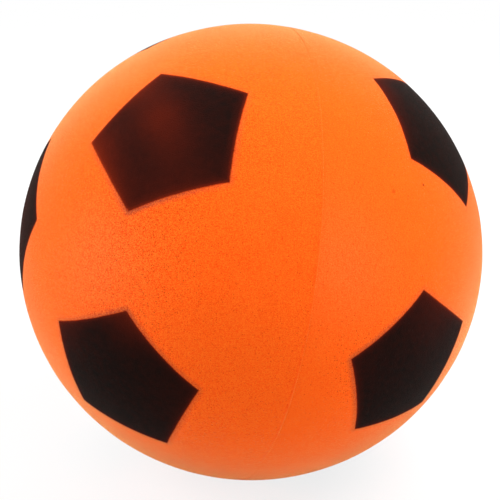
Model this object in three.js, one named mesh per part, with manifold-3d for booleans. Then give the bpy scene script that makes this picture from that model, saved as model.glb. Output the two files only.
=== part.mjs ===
// Soft foam toy ball: two foam halves glued face to face, with a sprayed pentagon pattern.
// Millimetres, +Z up. The origin is the centre of the ball, which lies on a small contact flat.
import * as THREE from 'three';
import { mergeVertices } from 'three/addons/utils/BufferGeometryUtils.js';
import Module from 'manifold-3d';

// Foam ball
const SEAM_DIAMETER = 200; // across the glued faces
const HALF_DEPTH = 101.6; // from the seam plane to the pole of each half
const CONTACT_RADIUS = 10.5; // flat that the soft foam takes under its own weight

// Glue between the halves
const GLUE_THICKNESS = 0.4; // film between the foam faces
const GLUE_RECESS = 0.4; // how far the film ends below the foam, which leaves the fine groove of the seam

// Sprayed pentagons
const PENTAGON_SIDE = 38.9; // straight from corner to corner
const PENTAGON_CORNERS = 5;
const PAINT_DEPTH = 1.2; // how far the paint soaks into the foam

// Clearance between neighbouring pieces
const FIT_GAP = 0.3;

// How the ball lies: where the right half's pole points, in degrees
const POLE_HEADING = 10.6; // from +X towards +Y
const POLE_DIP = 11.4; // below the horizontal

// Spray masks, in degrees: each half has a pole pentagon and a ring of five round the mask's own axis.
// tilt leans that axis off the half's pole, towards tiltHeading, which like clocking is counted
// round the pole from the lowest point of the seam. A twist turns a pentagon about its own centre.
const RING_COUNT = 5;
const RING_COLATITUDE = 57.2; // from the mask's axis to the ring's pentagons
const LEFT_MASK = { tilt: 5.2, tiltHeading: -115.3, clocking: 139.9, ringTwist: -5.7, poleTwist: 4.8 };
const RIGHT_MASK = { tilt: 3.5, tiltHeading: -34.4, clocking: -160.1, ringTwist: 23.3, poleTwist: 4.8 };

// Finishes of the dry foam, the soaked-in paint and the glue
const FOAM_FINISH = { color: 0xfa681d, roughness: 0.9, metalness: 0 };
const PAINT_FINISH = { color: 0x2b1814, roughness: 0.85, metalness: 0 };
const GLUE_FINISH = { color: 0xf07a33, roughness: 0.6, metalness: 0 };

// Fineness of the round surfaces
const BALL_DETAIL = 10; // splits of each face of the icosahedron that is rounded into the ball
const SEAM_STEPS = 72; // round the glued seam

// Sizes that follow from the ones above
const SEAM_RADIUS = SEAM_DIAMETER / 2;
const CUTTER_REACH = 2 * Math.max(SEAM_RADIUS, HALF_DEPTH); // past the ball from its centre
const FULL_TURN = 2 * Math.PI;
const QUARTER_TURN = Math.PI / 2;

const wasm = await Module();
wasm.setup();

function radians(degrees) {
  return THREE.MathUtils.degToRad(degrees);
}

// Closed mesh to solid, with its shared vertices welded
function solidOf(geometry) {
  geometry.deleteAttribute('normal');
  geometry.deleteAttribute('uv');
  const welded = mergeVertices(geometry);
  const vertProperties = new Float32Array(welded.attributes.position.array);
  const triVerts = new Uint32Array(welded.index.array);
  return new wasm.Manifold(new wasm.Mesh({ numProp: 3, vertProperties, triVerts }));
}

function meshOf(name, solid, finish) {
  const { vertProperties, triVerts } = solid.getMesh();
  const geometry = new THREE.BufferGeometry();
  geometry.setAttribute('position', new THREE.BufferAttribute(vertProperties, 3));
  geometry.setIndex(new THREE.BufferAttribute(triVerts, 1));
  geometry.computeVertexNormals();
  const mesh = new THREE.Mesh(geometry, new THREE.MeshStandardMaterial(finish));
  mesh.name = name;
  return mesh;
}

// The whole ball with the seam plane level, taken in by a depth below its surface
function ballSolid(depth) {
  const round = new THREE.IcosahedronGeometry(1, BALL_DETAIL);
  return solidOf(round.scale(SEAM_RADIUS - depth, SEAM_RADIUS - depth, HALF_DEPTH - depth));
}

// Block that fills everything below a level plane
function blockBelow(height) {
  const block = new THREE.BoxGeometry(2 * CUTTER_REACH, 2 * CUTTER_REACH, CUTTER_REACH);
  return block.translate(0, 0, height - CUTTER_REACH / 2);
}

// Film of glue in the seam plane
function glueFilm() {
  const radius = SEAM_RADIUS - GLUE_RECESS;
  return solidOf(new THREE.CylinderGeometry(radius, radius, GLUE_THICKNESS, SEAM_STEPS).rotateX(QUARTER_TURN));
}

// Five-sided pyramid from the ball's centre through a pentagon's corners, its sides moved out by a clearance.
// Its axis is +Z, and a corner points back along -X before the twist.
function pentagonPyramid(clearance, twist, place) {
  const halfCorner = Math.PI / PENTAGON_CORNERS;
  const cornerAngle = Math.asin(PENTAGON_SIDE / 2 / SEAM_RADIUS / Math.sin(halfCorner));
  const sideAngle = Math.atan(Math.tan(cornerAngle) * Math.cos(halfCorner));
  const height = CUTTER_REACH;
  const pyramid = new THREE.ConeGeometry(height * Math.tan(cornerAngle), height, PENTAGON_CORNERS);
  pyramid.translate(0, -height / 2, 0).rotateX(-QUARTER_TURN).rotateZ(QUARTER_TURN + radians(twist));
  pyramid.translate(0, 0, -clearance / Math.sin(sideAngle));
  return solidOf(pyramid.applyMatrix4(place));
}

// Where a mask puts its pentagons: each has a name, a placing matrix and a twist
function maskPentagons(mask) {
  const heading = radians(mask.tiltHeading);
  const hinge = new THREE.Vector3(-Math.sin(heading), Math.cos(heading), 0);
  const tilted = new THREE.Matrix4().makeRotationAxis(hinge, radians(mask.tilt));
  const clocked = tilted.multiply(new THREE.Matrix4().makeRotationZ(radians(mask.clocking)));
  const pentagons = [{ name: 'pole', place: clocked, twist: mask.poleTwist }];
  for (let k = 0; k < RING_COUNT; k += 1) {
    const place = clocked.clone();
    place.multiply(new THREE.Matrix4().makeRotationZ((FULL_TURN * k) / RING_COUNT));
    place.multiply(new THREE.Matrix4().makeRotationY(radians(RING_COLATITUDE)));
    pentagons.push({ name: `ring_${k + 1}`, place, twist: mask.ringTwist });
  }
  return pentagons;
}

// Everything below the contact flat, in the frame of the group that the cut pieces hang in
function belowContact(group) {
  const rise = Math.sin(radians(POLE_DIP));
  const reach = Math.hypot(SEAM_RADIUS * Math.sqrt(1 - rise * rise), HALF_DEPTH * rise);
  const contactHeight = reach * Math.sqrt(1 - (CONTACT_RADIUS / SEAM_RADIUS) ** 2);
  group.updateWorldMatrix(true, false);
  return solidOf(blockBelow(-contactHeight).applyMatrix4(group.matrixWorld.clone().invert()));
}

// One foam half with its pole up, its painted pentagons and the pockets that hold them
function fillHalf(group, side, mask) {
  const gluedFace = solidOf(blockBelow(GLUE_THICKNESS / 2 + FIT_GAP));
  const whole = ballSolid(0).subtract(gluedFace).subtract(belowContact(group));
  let foam = whole;
  for (const { name, place, twist } of maskPentagons(mask)) {
    const paint = whole.intersect(pentagonPyramid(0, twist, place)).subtract(ballSolid(PAINT_DEPTH));
    group.add(meshOf(`paint_${side}_${name}`, paint, PAINT_FINISH));
    const pocket = pentagonPyramid(FIT_GAP, twist, place).subtract(ballSolid(PAINT_DEPTH + FIT_GAP));
    foam = foam.subtract(pocket);
  }
  group.add(meshOf(`foam_half_${side}`, foam, FOAM_FINISH));
}

const ball = new THREE.Group();
ball.rotation.set(0, QUARTER_TURN + radians(POLE_DIP), radians(POLE_HEADING), 'ZYX');

const rightHalf = new THREE.Group();
const leftHalf = new THREE.Group();
leftHalf.rotation.x = Math.PI;
ball.add(rightHalf, leftHalf);

fillHalf(rightHalf, 'right', RIGHT_MASK);
fillHalf(leftHalf, 'left', LEFT_MASK);
ball.add(meshOf('glue_seam', glueFilm().subtract(belowContact(ball)), GLUE_FINISH));

export default ball;
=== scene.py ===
"""Looks of the soft foam toy ball: two foam halves, the glue between them and the sprayed pentagons.

Everything is in metres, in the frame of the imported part, with the ball's centre at the origin.
"""
import math

import bmesh
import bpy
import numpy as np
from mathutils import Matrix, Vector


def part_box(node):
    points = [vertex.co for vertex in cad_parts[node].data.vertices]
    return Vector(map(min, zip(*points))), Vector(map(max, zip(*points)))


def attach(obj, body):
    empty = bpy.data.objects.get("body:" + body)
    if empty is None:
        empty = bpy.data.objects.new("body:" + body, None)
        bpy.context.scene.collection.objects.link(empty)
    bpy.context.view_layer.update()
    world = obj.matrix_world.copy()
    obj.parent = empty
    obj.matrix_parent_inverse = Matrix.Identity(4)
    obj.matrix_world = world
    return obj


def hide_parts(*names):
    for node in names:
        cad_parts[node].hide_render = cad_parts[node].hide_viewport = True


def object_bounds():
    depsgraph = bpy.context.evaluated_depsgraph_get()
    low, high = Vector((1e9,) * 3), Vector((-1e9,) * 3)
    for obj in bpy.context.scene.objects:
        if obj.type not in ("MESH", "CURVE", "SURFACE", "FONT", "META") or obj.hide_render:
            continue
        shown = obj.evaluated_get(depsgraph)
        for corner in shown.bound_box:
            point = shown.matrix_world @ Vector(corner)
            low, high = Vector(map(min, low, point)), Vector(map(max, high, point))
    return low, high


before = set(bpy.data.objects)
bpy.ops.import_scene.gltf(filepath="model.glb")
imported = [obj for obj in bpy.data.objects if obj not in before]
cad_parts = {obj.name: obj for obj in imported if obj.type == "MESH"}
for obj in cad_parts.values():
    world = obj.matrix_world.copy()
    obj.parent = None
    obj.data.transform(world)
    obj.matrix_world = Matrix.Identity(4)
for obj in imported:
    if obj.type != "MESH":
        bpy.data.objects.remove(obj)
cad_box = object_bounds()

MM = 0.001
FULL_TURN = 2 * math.pi

# Foam ball
SEAM_RADIUS = 100 * MM  # radius of the glued faces
HALF_DEPTH = 101.6 * MM  # from the seam plane to each pole
PAINT_DEPTH = 1.2 * MM  # how far the paint soaks into the foam
POCKET_DEPTH = 1.3 * MM  # floor of the foam under a painted patch
PATCH_TAPER = 0.005  # share by which a patch is narrower at its back
SIDES = ("left", "right")
PENTAGONS = ("pole", "ring_1", "ring_2", "ring_3", "ring_4", "ring_5")
CENTRE_REACH = 0.4 * MM  # a patch's face is a side if its plane passes this close to the ball's centre
SAME_PLANE = 0.99  # faces whose normals agree this well belong to one side

# Skin of the ball
SKIN_SPLITS = 7  # subdivisions of the icosahedron
SNAP_REACH = 0.4 * MM  # skin vertices this close to a pentagon's side move onto it
CUT_MARGIN = 3 * SNAP_REACH  # how far past a pentagon's corners the skin is cut along its sides
CUT_TOLERANCE = 1e-6  # vertices of the unit sphere this close to a cut lie on it
WAVE_COUNT = 14
WAVE_LENGTHS = (14 * MM, 45 * MM)  # shortest and longest unevenness of the foam
WAVE_HEIGHT = 0.04 * MM
WAVE_FADE = 8 * MM  # width of the strip along the rim where the unevenness dies out
WAVE_SEED = 11
SHARP_ANGLE = math.radians(40)

# Seam groove between the sloping rims of the halves
RIM_START = 1.0 * MM  # where the rims start to slope, from the seam plane
RIM_STEPS = 6
GROOVE_DEPTH = 0.08 * MM
RIM_DROP = {"left": 1.1, "right": 0.5}  # how far the rims fall, as shares of the groove's depth
GLUE_HALF = 0.2 * MM  # half of the film's thickness
GLUE_CROWN = 0.03 * MM  # how far the middle of the film's edge stands above its sides
GLUE_CLEARANCE = 0.02 * MM
GLUE_STEPS = 480  # round the film
GLUE_EDGE_STEPS = 6  # across the film's edge
SEAM_WANDER = 0.12 * MM  # how far the seam strays from its plane
DEPTH_SWING = 0.2  # share by which the groove is deeper under the ball and shallower on top
DEPTH_WANDER = 0.25  # share by which the groove's depth varies
WANDER_TURNS = (2, 3, 5, 9, 14)  # waves per turn
STRAY_SEED = 5
DEPTH_SEED = 6

# How far the spray's line lies outside each side of a pentagon: millimetres at the side's middle, and
# millimetres more per SLIP_SPAN along it. Sides go round from the one that faces west, by way of south.
EDGE_SLIPS = {
    "paint_left_ring_1": [(0.3, -0.1), (-0.9, 0.15), (0, 0.1), (-0.9, -0.45), (-0.35, 0.15)],
    "paint_left_ring_5": [(0.35, 0.1), (-0.65, 0.25), (0.5, 0.2), (-0.25, -0.15), (0.3, 0.25)],
    "paint_right_ring_1": [(0.25, 0.05), (-0.15, 0), (0, 0), (-0.2, 0.2), (-0.2, -0.05)],
    "paint_right_ring_2": [(0, -0.3), (-0.45, -0.15), (0.45, -0.2), (-0.2, -0.2), (-0.2, 0.1)],
}
SLIP_SPAN = 10  # millimetres
UNSEEN_SLIP = (0.4, 0.2)  # spread of the same two values where the photo doesn't show the pentagon
SLIP_SEED = 31
EDGE_BOW = 0.35  # millimetres that the line bends outward at BOW_REACH from a side's middle
BOW_REACH = 15  # millimetres
DRAW_REACH = 8 * MM  # how far from a side the skin is drawn along when the side moves onto the line

# Thin spots of the paint: millimetres east and north of a pentagon's middle, spread in millimetres
# and the share of orange that shows through
THIN_SPOTS = {
    "paint_left_ring_1": [
        (-6, 6, 7, 0.053),
        (4, -4, 7, 0.026),
        (-34, -17, 10, 0.14),
        (-21, -33, 9, 0.14),
        (17, -33, 14, 0.050),
        (-23, 19, 8, 0.070),
        (0, 0, 40, 0.006),
    ],
    "paint_left_ring_5": [(10, 36, 9, 0.075), (36, -6, 14, 0.012), (-36, 25, 11, 0.065)],
    "paint_left_pole": [(2, -2, 14, 0.018)],
    "paint_right_ring_1": [(-30, 23, 7, 0.13), (-12, 32, 7, 0.055)],
    "paint_right_ring_2": [(-35, 11, 12, 0.011), (15, 32, 13, 0.034)],
}
THIN_SHARE = 0.005  # orange that shows through everywhere
THIN_RIM = {"paint_left_ring_1": 0.10}  # orange that shows along the edge of a pentagon
USUAL_RIM = 0.06
UNSEEN_SPOTS = 2  # thin spots of each patch that the photo doesn't show
UNSEEN_REACH = 20  # millimetres east or north of the patch's middle, at most
UNSEEN_SPREAD = (6, 11)  # least and most
UNSEEN_SHARE = (0.01, 0.045)
SPOT_SEED = 21

# Overspray on the foam: pentagon, millimetres east and north of its middle, spread and amount
DUST_SPOTS = [
    ("paint_left_ring_1", 12, -34, 14, 1.1),
    ("paint_left_ring_1", -8, -48, 16, 0.7),
    ("paint_left_ring_1", 28, 4, 12, 0.5),
    ("paint_left_ring_1", -24, -14, 10, 0.35),
    ("paint_left_ring_5", 4, 6, 26, 0.65),
    ("paint_left_ring_5", 10, 46, 14, 0.3),
    ("paint_left_ring_5", 34, -24, 14, 0.2),
    ("paint_right_ring_2", -18, 8, 20, 1.0),
    ("paint_left_ring_3", 10, -20, 24, 0.8),
    ("paint_right_ring_4", -12, 22, 24, 0.7),
    ("paint_right_pole", 14, -18, 24, 0.7),
]
LEAST_DUST = 0.15

# Pale bloom that the mould left on the foam, given in the same way
BLOOM_SPOTS = [
    ("paint_left_ring_1", -15, -52, 17, 0.034),
    ("paint_right_ring_2", -30, 48, 15, 0.021),
    ("paint_left_ring_3", -12, -44, 18, 0.027),
    ("paint_right_ring_4", 20, 46, 16, 0.023),
    ("paint_right_pole", -18, -48, 16, 0.023),
]
LEAST_BLOOM = 0.003
BLOOM_GRAIN = 4.0  # how strongly the grain breaks up the bloom

# Specks of dirt: pentagon, millimetres east and north of its middle, radius in millimetres and how much
# of the foam the speck hides
DIRT_SPECKS = [
    ("paint_right_ring_1", -36.7, -7.4, 0.7, 0.9),
    ("paint_right_ring_1", -50.5, 0.4, 1.1, 0.4),
]
DIRT_CORE = 0.4  # share of a speck's radius that is evenly dark

# Grain of the foam
GRAIN = {"left": 1.3, "right": 0.78}  # the halves come from foams of slightly different grain
CLEAN_GRAIN = 0.68  # contrast of the grain without dust
DUSTY_GRAIN = 0.5  # contrast that a dust of 1 adds
GRAIN_SIZE = 0.38 * MM
GRAIN_CONTRAST = 1.55
COARSE_GRAIN_SIZE = 0.9 * MM
COARSE_GRAIN_SHARE = 0.25
CLOUD_SIZE = 11 * MM  # large soft changes of tone
CLOUD_DETAIL = 2.0
CLOUD_CONTRAST = 0.12
MEAN_TONE = 0.35  # share of the shade colour in the foam
PIT_SIZE = 0.6 * MM  # cells of the foam, some of them open
PIT_REACH = (0.1, 0.45)  # edge of a pit's floor and of the pit, in cell sizes from the cell's middle
PIT_CHANCE = (0.5, 1.0)  # random number from which a cell is open, and at which it is fully open
PIT_CONTRAST = 0.75
PIT_RELIEF = 0.4
RELIEF_STRENGTH = 0.7
RELIEF_HEIGHT = 0.36 * MM

# Painted shade on the rim beside the seam, in uneven dashes, standing for the groove's shading
SEAM_SHADE = {"left": 0.09, "right": 0.0}
SEAM_SHADE_LOWNESS = (-0.93, -0.67, -0.1, 0.3)  # cosine of the angle from the seam's lowest point
SEAM_SHADE_SHARES = (0.2, 1.0, 1.0, 2.0)  # share of the painted shade there
SEAM_SHADE_REACH = (0.6, 1.5)  # millimetres from the seam where it starts to fade and where it ends
DASH_SIZE = 5 * MM
DASH_DETAIL = 2.0
DASH_NOISE = (-0.2, 0.2)  # noise at which the dashes are weakest and strongest
DASH_LEVELS = (0.6, 1.4)  # their strength there

# Spray. Edges, rims and zones are millimetres inside a pentagon's line, or outside it if negative.
LINE_STRAY_SIZE = 8 * MM
LINE_STRAY = 0.3
LINE_FUZZ_SIZE = 0.6 * MM
LINE_FUZZ = 0.4
COAT_EDGE = (-0.3, 0.4)  # where the coat starts and where it is whole
NARROW_RIM = (0.2, 1.6)  # strips along the edge where the coat is thin
WIDE_RIM = (0.2, 4.5)
NARROW_RIM_SHARE = 0.75
WIDE_RIM_SHARE = 0.25
MOTTLE_SIZE = 2.5 * MM
MOTTLE_DETAIL = 3.0
MOTTLE = 0.02
HAZE_EDGE = (-3.0, 0.3)  # fine dust close to the edge
HAZE_PER_DUST = 0.38
LEAST_HAZE = 0.08
HAZE_GRAIN = 2.0  # how strongly the grain breaks up the haze
SPECK_CELL = 0.8 * MM  # at most one speck of overspray in each cell of this size
SPECK_REACH = (0.15, 0.4)  # edge of a speck's core and of the speck, in cell sizes
SPECK_ZONE = (-14.0, 0.0)
SPECK_DENSITY = (0.16, 0.5)  # share of cells with a speck at both ends of that zone, for a dust of 1
SPECK_STAIN = 0.8  # how strongly a speck stains the foam
SPECK_DUST = (0.5, 1.0)  # dust at which the specks start to hold more paint, and at which they hold most
SPECK_PAINT = (0.2, 0.42)  # share of the stain that hides the foam

# Finishes
FOAM_COLOUR = (1.0, 0.153, 0.0102, 1)
FOAM_SHADE_COLOUR = (0.93, 0.045, 0.0012, 1)
PIT_COLOUR = (0.72, 0.028, 0.0008, 1)
BLOOM_COLOUR = (0.95, 0.75, 0.42, 1)
DIRT_COLOUR = (0.28, 0.014, 0.0008, 1)
DUST_COLOUR = (0.050, 0.034, 0.034, 1)
STAIN_COLOUR = (0.90, 0.050, 0.0015, 1)  # foam seen through a thin coat
PAINT_COLOUR = (0.0040, 0.0033, 0.0027, 1)
FOAM_ROUGHNESS = 0.9
FOAM_SHINE = 0.0
FOAM_SHEEN = 0.95
FOAM_SHEEN_TINT = (1.0, 0.75, 0.35, 1)
PAINT_SHINE = 0.02
PAINT_SHEEN = 0.04
PAINT_SHEEN_TINT = (1.0, 0.95, 0.88, 1)
SHEEN_ROUGHNESS = 0.3
GLUE_COLOUR = (0.98, 0.124, 0.0090, 1)
PALE_GLUE_COLOUR = (1.0, 0.33, 0.070, 1)
PALE_GLUE_SIZE = 4 * MM  # patches of paler glue low on the ball
PALE_GLUE_DETAIL = 2.0
PALE_GLUE_NOISE = (-0.3, 0.12)
GLUE_ROUGHNESS = 0.7
GLUE_SHINE = 0.05

# Floor, close to white in the picture
FLOOR_RADIUS = 8
FLOOR_CORNERS = 96
FLOOR_COLOUR = (0.65, 0.65, 0.65, 1)  # what it throws back on the ball
FLOOR_SEEN_COLOUR = (0.9, 0.9, 0.9, 1)  # what the camera sees
FLOOR_WHITE_SHARES = (0.8, 1.0)  # plain white mixed into that near the ball and far from it
FLOOR_FADE = (0.3, 0.9)  # distance from the ball's middle that counts as near and as far
WHITE = (1, 1, 1, 1)

# Square lamps that face the ball: place, size and power
LAMPS = {
    "upper_left": ((-0.7, 0, 1.0), 0.9, 5.4),
    "upper_right": ((0.7, 0, 1.0), 0.9, 18.6),
    "left_side": ((-1.12, -0.1, 0.6), 1.0, 16.4),
    "right_front": ((0.9, -0.9, 0.5), 0.9, 8.2),
    "upper_back": ((0, 0.9, 0.9), 1.0, 6.2),
    "back": ((0, 1.3, 0.4), 1.0, 3.8),
}

# Camera that took the photo, and how far its picture is off centre, in pixels
VIEW_ELEVATION = math.radians(25)
VIEW_DISTANCE = 532.7 * MM
NEAREST_SEEN = 10 * MM
LENS = 85.96
PICTURE_WIDTH = 500
PICTURE_OFFSET = (1.24, 2.06)  # to the right and down


def unit(vectors):
    return vectors / np.linalg.norm(vectors, axis=-1, keepdims=True)


def right_pole():
    """Unit vector from the seam plane to the right half's pole, square to the glue film."""
    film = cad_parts["glue_seam"].data
    widest = max(film.polygons, key=lambda face: face.area)
    low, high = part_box("foam_half_right")
    axis = widest.normal if widest.normal.dot(low + high) > 0 else -widest.normal
    return unit(np.array(axis))


def side_normals(node):
    """Outward normals of the planes through the ball's centre that bound a painted pentagon."""
    normals = []
    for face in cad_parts[node].data.polygons:
        through_centre = abs(face.normal.dot(face.center)) < CENTRE_REACH
        if through_centre and all(face.normal.dot(known) < SAME_PLANE for known in normals):
            normals.append(face.normal.copy())
    return np.array(normals)


class Pentagon:
    """Middle, sides and corners of a painted pentagon on a unit sphere, and the line of its spray."""

    def __init__(self, node, rng):
        normals = side_normals(node)
        self.node = node
        self.middle = unit(-normals.sum(0))
        self.east = unit(np.cross((0, 0, 1), self.middle))
        self.north = np.cross(self.middle, self.east)
        order = np.argsort(np.arctan2(normals @ self.north, normals @ self.east))
        self.normals = normals[order]
        self.sideways = unit(np.cross(self.middle, self.normals))
        self.corners = unit(np.cross(self.normals, np.roll(self.normals, -1, 0)))
        self.reach = math.acos(min(self.corners @ self.middle))
        self.half_side = SEAM_RADIUS * abs(self.corners[0] @ self.sideways[0])
        unseen = rng.normal(size=(len(normals), 2)) * UNSEEN_SLIP
        self.slips = np.array(EDGE_SLIPS.get(node, unseen))

    def line(self, points):
        """How far outside each side the line of the spray lies, at each point's place along that side."""
        along = np.clip(points @ self.sideways.T, -self.half_side, self.half_side) / MM
        slope = self.slips[:, 1] * along / SLIP_SPAN
        bow = EDGE_BOW * (along / BOW_REACH) ** 2
        return (self.slips[:, 0] + slope + bow) * MM

    def inside(self, points):
        """How far each point lies inside the line of the spray, or outside it as a negative length."""
        beyond = points @ self.normals.T - self.line(points)
        outside = np.sqrt((np.maximum(beyond, 0) ** 2).sum(1))
        return np.where(outside > 0, -outside, -beyond.max(1))

    def draw(self, points):
        """Moves the points near the sides, so that the sides come to lie on the line of the spray."""
        past_corner = np.maximum(np.abs(points @ self.sideways.T) - self.half_side, 0)
        from_side = np.hypot(points @ self.normals.T, past_corner)
        share = np.clip(1 - from_side / DRAW_REACH, 0, 1) * (points @ self.middle > 0)[:, None]
        near = share.any(1)
        pull = share[near] ** 2 * (3 - 2 * share[near])
        same = np.eye(len(self.normals))
        mixing = same + pull[:, :, None] * (self.normals @ self.normals.T - same)
        moves = np.linalg.solve(mixing, (pull * self.line(points[near]))[:, :, None])[:, :, 0]
        points[near] += moves @ self.normals

    def spot(self, points, east, north, spread):
        """Soft round spot at a place given in millimetres from the middle, 1 in its own middle."""
        across = (points @ self.east) / MM - east
        along = (points @ self.north) / MM - north
        ahead = points @ self.middle > 0
        return ahead * np.exp(-(across**2 + along**2) / (2 * spread**2))

    def place(self, east, north):
        """Direction of a place given in millimetres from the middle."""
        ahead = math.sqrt((SEAM_RADIUS / MM) ** 2 - east**2 - north**2)
        return unit(ahead * self.middle + east * self.east + north * self.north)


def on_ball(points, pole):
    """Points moved along their radius onto the ball."""
    height = points @ pole
    girth = (points**2).sum(1) - height**2
    return points / np.sqrt(girth / SEAM_RADIUS**2 + height**2 / HALF_DEPTH**2)[:, None]


def waviness(points):
    """Gentle unevenness of the foam, mostly from -1 to 1."""
    rng = np.random.default_rng(WAVE_SEED)
    lengths = rng.uniform(*WAVE_LENGTHS, WAVE_COUNT)
    waves = unit(rng.normal(size=(WAVE_COUNT, 3))) * (FULL_TURN / lengths)[:, None]
    phases = rng.uniform(0, FULL_TURN, WAVE_COUNT)
    return np.sin(points @ waves.T + phases).sum(1) / math.sqrt(WAVE_COUNT)


def wander(angles, seed):
    """Smooth wandering round the seam, mostly from -1 to 1."""
    phases = np.random.default_rng(seed).uniform(0, FULL_TURN, len(WANDER_TURNS))
    waves = [np.sin(turns * angles + phase) for turns, phase in zip(WANDER_TURNS, phases)]
    return np.sum(waves, axis=0) / math.sqrt(len(WANDER_TURNS))


class Seam:
    """Seam plane of the ball, with angles counted round the right half's pole from its lowest point."""

    def __init__(self):
        self.axis = right_pole()
        self.low = unit(np.array((0, 0, -1)) + self.axis * self.axis[2])
        self.across = np.cross(self.axis, self.low)

    def angles(self, points):
        return np.arctan2(points @ self.across, points @ self.low)

    def points(self, angles, radius, height):
        """Points at a radius from the axis and a height over the seam plane."""
        outward = np.cos(angles)[:, None] * self.low + np.sin(angles)[:, None] * self.across
        return outward * np.reshape(radius, (-1, 1)) + np.reshape(height, (-1, 1)) * self.axis

    def stray(self, angles):
        return SEAM_WANDER * wander(angles, STRAY_SEED)

    def depth(self, angles):
        swing = DEPTH_SWING * np.cos(angles)
        return GROOVE_DEPTH * (1 + swing + DEPTH_WANDER * wander(angles, DEPTH_SEED))


def girth_at(height):
    """Radius of the ball round its axis at a height over the seam plane."""
    return SEAM_RADIUS * np.sqrt(1 - (height / HALF_DEPTH) ** 2)


def snap_to_sides(points, pentagon):
    """Moves the points of a unit sphere that are close to a pentagon's corners or sides onto them."""
    free = np.ones(len(points), bool)
    for corner in pentagon.corners:
        nearest = np.argmax(points @ corner)
        points[nearest] = corner
        free[nearest] = False
    reach = SNAP_REACH / SEAM_RADIUS
    for normal in pentagon.normals:
        offset = points @ normal
        within = (points @ pentagon.normals.T).max(1) < reach
        near = free & within & (np.abs(offset) < reach) & (points @ pentagon.middle > 0)
        points[near] = unit(points[near] - offset[near, None] * normal)


def cut_along_sides(skin, pentagon):
    """Splits the faces that a pentagon's sides cross."""
    limit = math.cos(pentagon.reach + CUT_MARGIN / SEAM_RADIUS)
    middle = Vector(pentagon.middle)
    faces = [face for face in skin.faces if face.calc_center_median().normalized().dot(middle) > limit]
    edges = {edge for face in faces for edge in face.edges}
    vertices = {vertex for face in faces for vertex in face.verts}
    parts = [*faces, *edges, *vertices]
    for normal in pentagon.normals:
        plane = {"plane_co": (0, 0, 0), "plane_no": normal}
        cut = bmesh.ops.bisect_plane(skin, geom=parts, dist=CUT_TOLERANCE, **plane)
        parts = list({*cut["geom"], *cut["geom_cut"]})


def half_skin(pole, pentagons):
    """Points and triangles of one half's outside, from its pole to where its sloping rim starts."""
    skin = bmesh.new()
    bmesh.ops.create_icosphere(skin, subdivisions=SKIN_SPLITS, radius=1)
    points = np.array([vertex.co for vertex in skin.verts])
    for pentagon in pentagons:
        snap_to_sides(points, pentagon)
    for vertex, point in zip(skin.verts, points):
        vertex.co = point
    whole = [*skin.verts, *skin.edges, *skin.faces]
    plane = {"plane_co": pole * RIM_START / SEAM_RADIUS, "plane_no": pole}
    bmesh.ops.bisect_plane(skin, geom=whole, dist=CUT_TOLERANCE, clear_inner=True, **plane)
    for pentagon in pentagons:
        cut_along_sides(skin, pentagon)
    bmesh.ops.triangulate(skin, faces=skin.faces[:])
    skin.verts.index_update()
    points = on_ball(np.array([vertex.co for vertex in skin.verts]), pole)
    triangles = np.array([[vertex.index for vertex in face.verts] for face in skin.faces])
    skin.free()
    return points, triangles


def open_edges(triangles):
    """Directed edges that only one of the triangles has."""
    edges = np.concatenate([triangles[:, (0, 1)], triangles[:, (1, 2)], triangles[:, (2, 0)]])
    known = {(a, b) for a, b in edges.tolist()}
    return np.array([(a, b) for a, b in edges.tolist() if (b, a) not in known])


class Surface:
    """Points and faces of a piece, gathered sheet by sheet."""

    def __init__(self, points):
        self.points = [points]
        self.count = len(points)
        self.faces = []

    def add_points(self, points):
        """Adds points and gives the index of the first."""
        first = self.count
        self.points.append(points)
        self.count += len(points)
        return first

    def add_faces(self, faces):
        self.faces.extend(np.asarray(faces).tolist())

    def piece(self, name, material):
        """Mesh object of the gathered faces, without the points that none of them uses."""
        points = np.concatenate(self.points)
        used = sorted({index for face in self.faces for index in face})
        place = {index: k for k, index in enumerate(used)}
        mesh = bpy.data.meshes.new(name)
        mesh.from_pydata(points[used], [], [[place[index] for index in face] for face in self.faces])
        mesh.polygons.foreach_set("use_smooth", [True] * len(mesh.polygons))
        mesh.set_sharp_from_angle(angle=SHARP_ANGLE)
        mesh.materials.append(material)
        piece = bpy.data.objects.new(name, mesh)
        bpy.context.scene.collection.objects.link(piece)
        return piece


def shape_skin(points, seam, pentagons):
    """Skin with its pentagons on the lines of their spray, the foam's unevenness and the contact flat.

    Gives the points and their outward directions.
    """
    for pentagon in pentagons:
        pentagon.draw(points)
    points = on_ball(points, seam.axis)
    outward = unit(points)
    from_rim = np.abs(points @ seam.axis) - RIM_START
    heights = WAVE_HEIGHT * waviness(points) * np.clip(from_rim / WAVE_FADE, 0, 1)
    points = points + outward * heights[:, None]
    points[:, 2] = np.maximum(points[:, 2], cad_box[0].z)
    return points, outward


def wall(edges, shift):
    """Quads from edges to the same edges of a copy whose points come shift later."""
    start, end = edges.T
    return np.stack([start, end, end + shift, start + shift], 1)


def add_pocket(half, points, outward, triangles):
    """Floor and walls of the pocket that holds a painted patch."""
    shift = half.add_points(points - outward * POCKET_DEPTH)
    half.add_faces(triangles + shift)
    half.add_faces(wall(open_edges(triangles), shift))


def painted_patch(pentagon, points, outward, triangles, material):
    """Patch of soaked foam, slightly narrower at its back."""
    back = points - outward * PAINT_DEPTH
    back += (pentagon.middle * SEAM_RADIUS - back) * PATCH_TAPER
    patch = Surface(points)
    shift = patch.add_points(back)
    patch.add_faces(triangles)
    patch.add_faces(triangles[:, ::-1] + shift)
    patch.add_faces(wall(open_edges(triangles)[:, ::-1], shift))
    return patch.piece(pentagon.node.replace("paint", "painted"), material)


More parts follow.
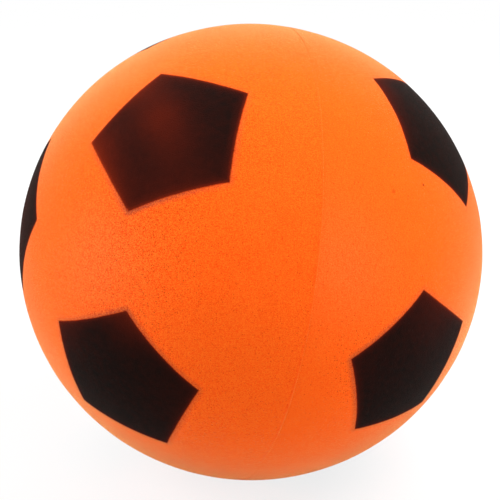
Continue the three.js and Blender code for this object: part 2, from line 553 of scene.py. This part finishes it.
def add_rim(half, points, edges, seam, sign, drop):
    """Sloping rim and glued face of a foam half, from the open edges of its skin."""
    ring = edges[:, 0]
    place = {index: k for k, index in enumerate(ring.tolist())}
    following = np.array([place[index] for index in edges[:, 1].tolist()])
    angles = seam.angles(points[ring])
    foot = GLUE_HALF + GLUE_CLEARANCE
    last, this = ring[following], ring
    for step in range(1, RIM_STEPS + 1):
        share = step / RIM_STEPS
        height = foot + (RIM_START - foot) * (1 - share)
        inset = seam.depth(angles) * drop * share**2
        stray = seam.stray(angles) * share
        first = half.add_points(seam.points(angles, girth_at(height) - inset, sign * height + stray))
        below = first + np.arange(len(ring))
        half.add_faces(np.stack([last, this, below, below[following]], 1))
        last, this = below[following], below
    middle = half.add_points(np.array([seam.axis * sign * foot]))
    half.add_faces(np.stack([last, this, np.full(len(ring), middle)], 1))


def foam_and_patches(side, seam, pentagons, foam, paint):
    """Foam half with a pocket for each pentagon, and the painted patches that fill them."""
    sign = 1 if side == "right" else -1
    points, triangles = half_skin(seam.axis * sign, pentagons)
    centres = points[triangles].mean(1)
    points, outward = shape_skin(points, seam, pentagons)
    half = Surface(points)
    bare = np.ones(len(triangles), bool)
    patches = []
    for pentagon in pentagons:
        within = (centres @ pentagon.normals.T).max(1) < 0
        bare &= ~within
        add_pocket(half, points, outward, triangles[within])
        patches.append(painted_patch(pentagon, points, outward, triangles[within], paint))
    half.add_faces(triangles[bare])
    add_rim(half, points, open_edges(triangles), seam, sign, RIM_DROP[side])
    return half.piece(f"{side}_foam_half", foam), patches


def glue_film(seam, material):
    """Thin round film between the halves, with a low crowned edge at the bottom of the groove."""
    angles = np.arange(GLUE_STEPS) * FULL_TURN / GLUE_STEPS
    stray = seam.stray(angles)
    edge = SEAM_RADIUS - seam.depth(angles) - GLUE_CROWN
    film = Surface(np.array([-seam.axis * GLUE_HALF, seam.axis * GLUE_HALF]))
    following = np.roll(np.arange(GLUE_STEPS), -1)
    rings = []
    for step in range(GLUE_EDGE_STEPS + 1):
        turn = (step / GLUE_EDGE_STEPS - 0.5) * math.pi
        radius = edge + GLUE_CROWN * math.cos(turn)
        first = film.add_points(seam.points(angles, radius, stray + GLUE_HALF * math.sin(turn)))
        rings.append(first + np.arange(GLUE_STEPS))
    for below, above in zip(rings, rings[1:]):
        film.add_faces(np.stack([below, below[following], above[following], above], 1))
    film.add_faces(np.stack([rings[0][following], rings[0], np.zeros(GLUE_STEPS, int)], 1))
    film.add_faces(np.stack([rings[-1], rings[-1][following], np.ones(GLUE_STEPS, int)], 1))
    piece = film.piece("seam_glue", material)
    lowness = np.cos(seam.angles(np.array([vertex.co for vertex in piece.data.vertices])))
    set_attribute(piece, "pale", np.clip(lowness, 0, 1))
    return piece


def unseen_spots(rng):
    """Made-up thin spots of a patch that the photo doesn't show."""
    places = rng.uniform(-UNSEEN_REACH, UNSEEN_REACH, (UNSEEN_SPOTS, 2))
    return [(*place, rng.uniform(*UNSEEN_SPREAD), rng.uniform(*UNSEEN_SHARE)) for place in places]


def orange_share(pentagon, points, rng):
    """Share of orange foam that shows through a pentagon's paint at each point."""
    spots = THIN_SPOTS.get(pentagon.node) or unseen_spots(rng)
    share = np.full(len(points), THIN_SHARE)
    for east, north, spread, amount in spots:
        share += amount * pentagon.spot(points, east, north, spread)
    return share


def spread_spots(spots, pentagons, points):
    """Sum of soft spots at each point, for the spots whose pentagon is among those given."""
    by_node = {pentagon.node: pentagon for pentagon in pentagons}
    total = np.zeros(len(points))
    for node, east, north, spread, amount in spots:
        if node in by_node:
            total += amount * by_node[node].spot(points, east, north, spread)
    return total


def set_attribute(piece, name, values):
    attribute = piece.data.attributes.new(name, "FLOAT", "POINT")
    attribute.data.foreach_set("value", values.astype(np.float32))


def add_spray(piece, side, seam, pentagons):
    """Attributes that the finishes read, such as the millimetres inside the nearest pentagon."""
    every = [pentagon for half in SIDES for pentagon in pentagons[half]]
    points = np.array([vertex.co for vertex in piece.data.vertices])
    around = unit(points) * SEAM_RADIUS
    inside = np.array([pentagon.inside(around) for pentagon in every])
    rng = np.random.default_rng(SPOT_SEED)
    shares = np.array([orange_share(pentagon, around, rng) for pentagon in every])
    rims = np.array([THIN_RIM.get(pentagon.node, USUAL_RIM) for pentagon in every])
    nearest = inside.argmax(0)
    each = np.arange(len(points))
    angles = seam.angles(points)
    seam_shade_share = np.interp(np.cos(angles), SEAM_SHADE_LOWNESS, SEAM_SHADE_SHARES)
    set_attribute(piece, "inside", inside[nearest, each] / MM)
    set_attribute(piece, "orange", shares[nearest, each])
    set_attribute(piece, "rim", rims[nearest])
    set_attribute(piece, "dust", LEAST_DUST + spread_spots(DUST_SPOTS, every, around))
    set_attribute(piece, "bloom", spread_spots(BLOOM_SPOTS, pentagons[side], around))
    set_attribute(piece, "grain", np.full(len(points), GRAIN[side]))
    # painted shade along the seam, stronger low on the ball, on the left half only
    set_attribute(piece, "seam_shade", SEAM_SHADE[side] * seam_shade_share)
    set_attribute(piece, "from_seam", np.abs(points @ seam.axis - seam.stray(angles)) / MM)


class Tree:
    """Short ways to add nodes to a material or world."""

    def __init__(self, owner):
        owner.use_nodes = True
        self.tree = owner.node_tree
        self.tree.nodes.clear()

    def put(self, value, socket):
        """Links an output to a socket, or gives the socket a plain value."""
        if isinstance(value, bpy.types.NodeSocket):
            self.tree.links.new(value, socket)
        else:
            socket.default_value = value

    def add(self, kind, inputs=(), **settings):
        node = self.tree.nodes.new(kind)
        for name, value in settings.items():
            setattr(node, name, value)
        for key, value in dict(inputs).items():
            self.put(value, node.inputs[key])
        return node

    def maths(self, operation, first, second):
        return self.add("ShaderNodeMath", {0: first, 1: second}, operation=operation).outputs[0]

    def plus(self, first, second):
        return self.maths("ADD", first, second)

    def minus(self, first, second):
        return self.maths("SUBTRACT", first, second)

    def times(self, first, second):
        return self.maths("MULTIPLY", first, second)

    def larger(self, first, second):
        return self.maths("MAXIMUM", first, second)

    def span(self, value, low, high, at_low=0.0, at_high=1.0):
        """Smooth step of a value from one level at low to another at high."""
        inputs = {"Value": value, "From Min": low, "From Max": high, "To Min": at_low, "To Max": at_high}
        return self.add("ShaderNodeMapRange", inputs, interpolation_type="SMOOTHSTEP").outputs["Result"]

    def blend(self, share, first, second):
        inputs = {0: share, 6: first, 7: second}
        return self.add("ShaderNodeMix", inputs, data_type="RGBA").outputs[2]

    def attribute(self, name):
        return self.add("ShaderNodeAttribute", attribute_name=name).outputs["Fac"]

    def place(self):
        return self.add("ShaderNodeTexCoord").outputs["Object"]

    def noise(self, wavelength, detail=1.0):
        """Soft noise about 0, mostly from -0.5 to 0.5."""
        inputs = {"Vector": self.place(), "Scale": 1 / wavelength, "Detail": detail}
        return self.minus(self.add("ShaderNodeTexNoise", inputs).outputs["Fac"], 0.5)

    def cells(self, size):
        """Distance to the nearest cell's middle, in cell sizes, and a random number of that cell."""
        texture = self.add("ShaderNodeTexVoronoi", {"Vector": self.place(), "Scale": 1 / size})
        parts = self.add("ShaderNodeSeparateColor", {"Color": texture.outputs["Color"]})
        return texture.outputs["Distance"], parts.outputs[0]


def foam_grain(tree):
    """Fine grain of the foam, about 0."""
    coarse = tree.times(tree.noise(COARSE_GRAIN_SIZE), COARSE_GRAIN_SHARE)
    return tree.plus(tree.noise(GRAIN_SIZE), coarse)


def foam_pits(tree):
    """Depth of the foam's open cells, from 0 to 1."""
    distance, chance = tree.cells(PIT_SIZE)
    return tree.times(tree.span(distance, *PIT_REACH, 1.0, 0.0), tree.span(chance, *PIT_CHANCE))


def painted_seam_shade(tree):
    """Painted shade of the groove: how much darker the foam is painted along the glue."""
    dashes = tree.span(tree.noise(DASH_SIZE, DASH_DETAIL), *DASH_NOISE, *DASH_LEVELS)
    reach = tree.span(tree.attribute("from_seam"), *SEAM_SHADE_REACH, 1.0, 0.0)
    return tree.times(tree.attribute("seam_shade"), tree.times(dashes, reach))


def bare_foam(tree, grain, pits):
    """Colour of the foam with its grain, pits, painted shade along the seam and pale bloom."""
    contrast = tree.plus(tree.times(tree.attribute("dust"), DUSTY_GRAIN), CLEAN_GRAIN)
    contrast = tree.times(contrast, tree.attribute("grain"))
    cloud = tree.times(tree.noise(CLOUD_SIZE, CLOUD_DETAIL), CLOUD_CONTRAST)
    tone = tree.times(tree.times(grain, GRAIN_CONTRAST), contrast)
    tone = tree.plus(tone, tree.plus(cloud, MEAN_TONE))
    # the tone is darkened here by the painted shade along the seam
    smooth = tree.blend(tree.plus(tone, painted_seam_shade(tree)), FOAM_COLOUR, FOAM_SHADE_COLOUR)
    pitted = tree.blend(tree.times(tree.times(pits, PIT_CONTRAST), contrast), smooth, PIT_COLOUR)
    bloom = tree.plus(tree.attribute("bloom"), LEAST_BLOOM)
    bloom = tree.times(bloom, tree.minus(1.0, tree.times(grain, BLOOM_GRAIN)))
    return tree.blend(bloom, pitted, BLOOM_COLOUR)


def dirt(tree, specks):
    """How far the specks of dirt hide the foam, from 0 to 1."""
    total = 0.0
    for point, radius, share in specks:
        distance = tree.add("ShaderNodeVectorMath", {0: tree.place(), 1: point}, operation="DISTANCE")
        speck = tree.span(distance.outputs["Value"], radius * DIRT_CORE, radius, share, 0.0)
        total = tree.plus(total, speck)
    return total


def spray_line(tree):
    """Millimetres inside the nearest pentagon, counted from the slightly ragged line of its spray."""
    stray = tree.times(tree.noise(LINE_STRAY_SIZE), LINE_STRAY)
    fuzz = tree.times(tree.noise(LINE_FUZZ_SIZE), LINE_FUZZ)
    return tree.plus(tree.attribute("inside"), tree.plus(stray, fuzz))


def spray_haze(tree, inside, grain):
    """How far fine dust hides the foam close to a pentagon, from 0 to 1."""
    level = tree.plus(tree.times(tree.attribute("dust"), HAZE_PER_DUST), LEAST_HAZE)
    haze = tree.times(tree.span(inside, *HAZE_EDGE), level)
    return tree.times(haze, tree.plus(1.0, tree.times(grain, HAZE_GRAIN)))


def spray_coat(tree, inside):
    """How far the coat of paint hides the foam, from 0 to 1, with soft edges and thin spots."""
    narrow = tree.span(inside, *NARROW_RIM, NARROW_RIM_SHARE, 0.0)
    wide = tree.span(inside, *WIDE_RIM, WIDE_RIM_SHARE, 0.0)
    thin_rim = tree.times(tree.plus(narrow, wide), tree.attribute("rim"))
    mottle = tree.times(tree.noise(MOTTLE_SIZE, MOTTLE_DETAIL), MOTTLE)
    thin = tree.plus(tree.attribute("orange"), tree.plus(thin_rim, mottle))
    coat = tree.times(tree.span(inside, *COAT_EDGE), tree.minus(1.0, thin))
    return tree.add("ShaderNodeClamp", {"Value": coat}).outputs[0]


def spray_specks(tree, inside):
    """How far single specks of overspray stain the foam, from 0 to 1."""
    distance, chance = tree.cells(SPECK_CELL)
    speck = tree.span(distance, *SPECK_REACH, SPECK_STAIN, 0.0)
    density = tree.times(tree.attribute("dust"), tree.span(inside, *SPECK_ZONE, *SPECK_DENSITY))
    return tree.times(speck, tree.maths("LESS_THAN", chance, density))


def sprayed(tree, foam, inside):
    """Colour of foam under the coat of paint and the specks of overspray."""
    coat = spray_coat(tree, inside)
    specks = spray_specks(tree, inside)
    stained = tree.blend(tree.larger(coat, specks), foam, STAIN_COLOUR)
    speck_paint = tree.times(specks, tree.span(tree.attribute("dust"), *SPECK_DUST, *SPECK_PAINT))
    return tree.blend(tree.larger(coat, speck_paint), stained, PAINT_COLOUR)


def sprayed_foam(name, shine, sheen, sheen_tint, specks):
    """Fine-celled foam with what the spray left on it, for the bare foam and the painted patches."""
    material = bpy.data.materials.new(name)
    tree = Tree(material)
    grain = foam_grain(tree)
    pits = foam_pits(tree)
    inside = spray_line(tree)
    dirty = tree.blend(dirt(tree, specks), bare_foam(tree, grain, pits), DIRT_COLOUR)
    dusty = tree.blend(spray_haze(tree, inside, grain), dirty, DUST_COLOUR)
    relief = tree.minus(grain, tree.times(pits, PIT_RELIEF))
    bumps = {"Strength": RELIEF_STRENGTH, "Distance": RELIEF_HEIGHT, "Height": relief}
    inputs = {
        "Base Color": sprayed(tree, dusty, inside),
        "Roughness": FOAM_ROUGHNESS,
        "Specular IOR Level": shine,
        "Sheen Weight": sheen,
        "Sheen Roughness": SHEEN_ROUGHNESS,
        "Sheen Tint": sheen_tint,
        "Normal": tree.add("ShaderNodeBump", bumps).outputs["Normal"],
    }
    shader = tree.add("ShaderNodeBsdfPrincipled", inputs)
    tree.add("ShaderNodeOutputMaterial", {"Surface": shader.outputs[0]})
    return material


def glue_finish():
    """Dried glue, close to the foam in colour, at the bottom of the groove."""
    material = bpy.data.materials.new("dried_glue")
    tree = Tree(material)
    patches = tree.span(tree.noise(PALE_GLUE_SIZE, PALE_GLUE_DETAIL), *PALE_GLUE_NOISE)
    pale = tree.times(patches, tree.attribute("pale"))
    inputs = {
        "Base Color": tree.blend(pale, GLUE_COLOUR, PALE_GLUE_COLOUR),
        "Roughness": GLUE_ROUGHNESS,
        "Specular IOR Level": GLUE_SHINE,
    }
    shader = tree.add("ShaderNodeBsdfPrincipled", inputs)
    tree.add("ShaderNodeOutputMaterial", {"Surface": shader.outputs[0]})
    return material


def camera_share(tree):
    """1 for rays that show the background itself: straight from the camera, mirrored or through glass."""
    path = tree.add("ShaderNodeLightPath")
    share = tree.larger(path.outputs["Is Camera Ray"], path.outputs["Is Glossy Ray"])
    return tree.larger(share, path.outputs["Is Transmission Ray"])


def floor_finish():
    """Pale paper that keeps the ball's shadow and fades to plain white away from the ball."""
    material = bpy.data.materials.new("pale_floor")
    tree = Tree(material)
    seen = camera_share(tree)
    colour = tree.blend(seen, FLOOR_COLOUR, FLOOR_SEEN_COLOUR)
    paper = tree.add("ShaderNodeBsdfDiffuse", {"Color": colour})
    white = tree.add("ShaderNodeEmission", {"Color": WHITE, "Strength": 1.0})
    far = tree.add("ShaderNodeVectorMath", {0: tree.place()}, operation="LENGTH").outputs["Value"]
    share = tree.times(seen, tree.span(far, *FLOOR_FADE, *FLOOR_WHITE_SHARES))
    mix = tree.add("ShaderNodeMixShader", {0: share, 1: paper.outputs[0], 2: white.outputs[0]})
    tree.add("ShaderNodeOutputMaterial", {"Surface": mix.outputs[0]})
    return material


def add_floor():
    """Round floor that the ball rests on."""
    mesh = bpy.data.meshes.new("floor")
    shape = bmesh.new()
    bmesh.ops.create_circle(shape, cap_ends=True, segments=FLOOR_CORNERS, radius=FLOOR_RADIUS)
    bmesh.ops.translate(shape, verts=shape.verts[:], vec=(0, 0, cad_box[0].z))
    shape.to_mesh(mesh)
    shape.free()
    mesh.materials.append(floor_finish())
    floor = bpy.data.objects.new("floor", mesh)
    bpy.context.scene.collection.objects.link(floor)


def add_world():
    """White to the camera, and dark to the ball, which the lamps alone light."""
    world = bpy.data.worlds.new("studio")
    tree = Tree(world)
    dark = tree.add("ShaderNodeBackground", {"Color": WHITE, "Strength": 0.0})
    white = tree.add("ShaderNodeBackground", {"Color": WHITE, "Strength": 1.0})
    shaders = {0: camera_share(tree), 1: dark.outputs[0], 2: white.outputs[0]}
    mix = tree.add("ShaderNodeMixShader", shaders)
    tree.add("ShaderNodeOutputWorld", {"Surface": mix.outputs[0]})
    bpy.context.scene.world = world


def add_lamp(name, place, size, power):
    """Square area lamp that faces the ball."""
    lamp = bpy.data.lights.new(name, "AREA")
    lamp.size = size
    lamp.energy = power
    box = bpy.data.objects.new(name, lamp)
    box.location = place
    box.rotation_mode = "QUATERNION"
    box.rotation_quaternion = (-Vector(place)).to_track_quat("-Z", "Y")
    bpy.context.scene.collection.objects.link(box)


def add_camera():
    camera = bpy.data.cameras.new("camera")
    camera.lens = LENS
    camera.shift_x = -PICTURE_OFFSET[0] / PICTURE_WIDTH
    camera.shift_y = PICTURE_OFFSET[1] / PICTURE_WIDTH
    camera.clip_start = NEAREST_SEEN
    holder = bpy.data.objects.new("camera", camera)
    back = Vector((0, -math.cos(VIEW_ELEVATION), math.sin(VIEW_ELEVATION)))
    holder.location = back * VIEW_DISTANCE
    holder.rotation_euler = (math.pi / 2 - VIEW_ELEVATION, 0, 0)
    bpy.context.scene.collection.objects.link(holder)
    bpy.context.scene.camera = holder


def dress(piece, node):
    """Puts a piece in the place of its CAD node."""
    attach(piece, "root")
    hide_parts(node)


def dirt_specks(seam, pentagons):
    """Middle, radius and share of each speck of dirt."""
    by_node = {pentagon.node: pentagon for half in SIDES for pentagon in pentagons[half]}
    specks = []
    for node, east, north, radius, share in DIRT_SPECKS:
        point = on_ball(by_node[node].place(east, north)[None], seam.axis)[0]
        specks.append((point, radius * MM, share))
    return specks


def build_ball():
    seam = Seam()
    rng = np.random.default_rng(SLIP_SEED)
    pentagons = {side: [Pentagon(f"paint_{side}_{name}", rng) for name in PENTAGONS] for side in SIDES}
    specks = dirt_specks(seam, pentagons)
    foam = sprayed_foam("orange_foam", FOAM_SHINE, FOAM_SHEEN, FOAM_SHEEN_TINT, specks)
    paint = sprayed_foam("soaked_paint", PAINT_SHINE, PAINT_SHEEN, PAINT_SHEEN_TINT, [])
    for side in SIDES:
        half, patches = foam_and_patches(side, seam, pentagons[side], foam, paint)
        add_spray(half, side, seam, pentagons)
        dress(half, f"foam_half_{side}")
        for patch, pentagon in zip(patches, pentagons[side]):
            add_spray(patch, side, seam, pentagons)
            dress(patch, pentagon.node)
    dress(glue_film(seam, glue_finish()), "glue_seam")


def light_studio():
    add_world()
    for name, (place, size, power) in LAMPS.items():
        add_lamp(name, place, size, power)


add_camera()
build_ball()
add_floor()
light_studio()
bpy.context.scene.view_settings.view_transform = "Standard"
